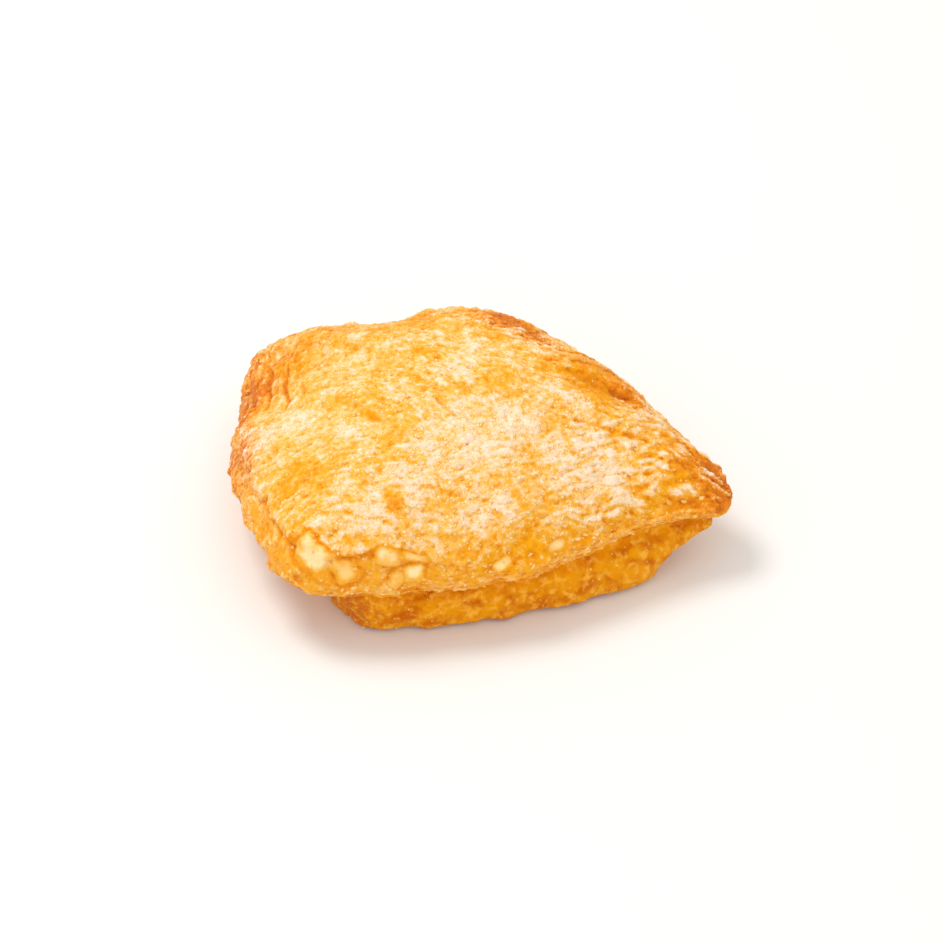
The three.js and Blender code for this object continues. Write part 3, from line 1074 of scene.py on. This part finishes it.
# ---------------------------------------------------------------- stage, lights and camera
FLOOR_REACH = 3.0  # metres to each side
FLOOR_DROP = 0.02  # millimetres below the sole, so that the two don't touch
SKY_STRENGTH = 0.89
SOFTBOX_SIZE = 0.4
SOFTBOXES = {  # place in metres, and watts
    "key_light": ((-0.42, 0.05, 0.8), 3.6),
    "fill_light": ((0.45, -0.7, 0.3), 1.1),
}


def floor_material():
    n = Nodes("floor")
    n.set(Base_Color=FLOOR_WHITE, Roughness=0.8)
    return n.material


def make_floor():
    corners = [(x * FLOOR_REACH, y * FLOOR_REACH, 0.0) for x, y in ((-1, -1), (1, -1), (1, 1), (-1, 1))]
    mesh = bpy.data.meshes.new("floor")
    mesh.from_pydata(corners, [], [(0, 1, 2, 3)])
    mesh.materials.append(floor_material())
    floor = new_object("floor", mesh)
    floor.location.z = -FLOOR_DROP * MM


def make_sky():
    world = bpy.data.worlds.new("studio")
    world.use_nodes = True
    background = world.node_tree.nodes["Background"]
    background.inputs["Color"].default_value = (1.0, 1.0, 1.0, 1.0)
    background.inputs["Strength"].default_value = SKY_STRENGTH
    bpy.context.scene.world = world


def add_softbox(name, place, power):
    """A round lamp that aims at the pastry."""
    lamp = bpy.data.lights.new(name, "AREA")
    lamp.shape = "DISK"
    lamp.size = SOFTBOX_SIZE
    lamp.energy = power
    box = bpy.data.objects.new(name, lamp)
    box.location = place
    box.rotation_euler = (-Vector(place)).to_track_quat("-Z", "Y").to_euler()
    bpy.context.scene.collection.objects.link(box)


def camera_axes():
    azimuth = math.radians(CAMERA_AZIMUTH)
    elevation = math.radians(CAMERA_ELEVATION)
    back = Vector((
        math.sin(azimuth) * math.cos(elevation),
        -math.cos(azimuth) * math.cos(elevation),
        math.sin(elevation),
    ))
    right = Vector((math.cos(azimuth), math.sin(azimuth), 0.0))
    return right, back.cross(right), back


def make_camera():
    """Aims so that SIGHTED_POINT shows at SIGHTED_PIXEL, with no shift."""
    right, up, back = camera_axes()
    pixel = CAMERA_DISTANCE * SENSOR / LENS / IMAGE_SIZE  # millimetres at the aim's distance
    aim = Vector(SIGHTED_POINT)
    aim -= right * (SIGHTED_PIXEL[0] - IMAGE_SIZE / 2) * pixel
    aim += up * (SIGHTED_PIXEL[1] - IMAGE_SIZE / 2) * pixel
    camera = bpy.data.cameras.new("camera")
    camera.lens = LENS
    camera.sensor_width = SENSOR
    camera.clip_start = 0.05
    seen_from = bpy.data.objects.new("camera", camera)
    seen_from.location = (aim + back * CAMERA_DISTANCE) * MM
    seen_from.rotation_euler = back.to_track_quat("Z", "Y").to_euler()
    bpy.context.scene.collection.objects.link(seen_from)
    bpy.context.scene.camera = seen_from


def light_scene():
    make_sky()
    for name, (place, power) in SOFTBOXES.items():
        add_softbox(name, place, power)
    bpy.context.scene.view_settings.view_transform = "Standard"


# ---------------------------------------------------------------- assembly
# Kinds of crystal: sizes in millimetres, and how far their middles lie above the crust, in shares of
# their size.
SUGAR_KINDS = [
    {"name": "sugar_coarse", "count": 1500, "sizes": (0.5, 0.8), "seed": 5, "height": (-0.25, -0.1)},
    {"name": "sugar_medium", "count": 3500, "sizes": (0.36, 0.52), "seed": 6, "height": (-0.22, -0.05)},
    {"name": "sugar_fine", "count": 3000, "sizes": (0.28, 0.4), "seed": 7, "height": (-0.22, -0.05)},
]


def dress(piece, look):
    piece.data.materials.append(look)
    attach(piece, BODY)


make_camera()
make_floor()
light_scene()

crust, crust_field, rim, paint = make_crust(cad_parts[NODE])
dress(crust, crust_material())
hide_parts(NODE)

leaf_look = leaf_material()
surface = Surface(crust.data)
dress(make_leaf_edges(surface, rim), leaf_look)
dress(make_flakes(surface, crust, crust_field), leaf_look)

sugar_look = sugar_material()
sugar_density = paint["sugar"] ** 2 * (1.0 - 0.5 * paint["toast"]) + 0.03 * (1.0 - paint["flake"])
sugar_tint = 0.7 - 0.9 * paint["sugar"] + 0.7 * paint["toast"]
for kind in SUGAR_KINDS:
    dress(scatter_sugar(kind, crust, sugar_density, sugar_tint), sugar_look)
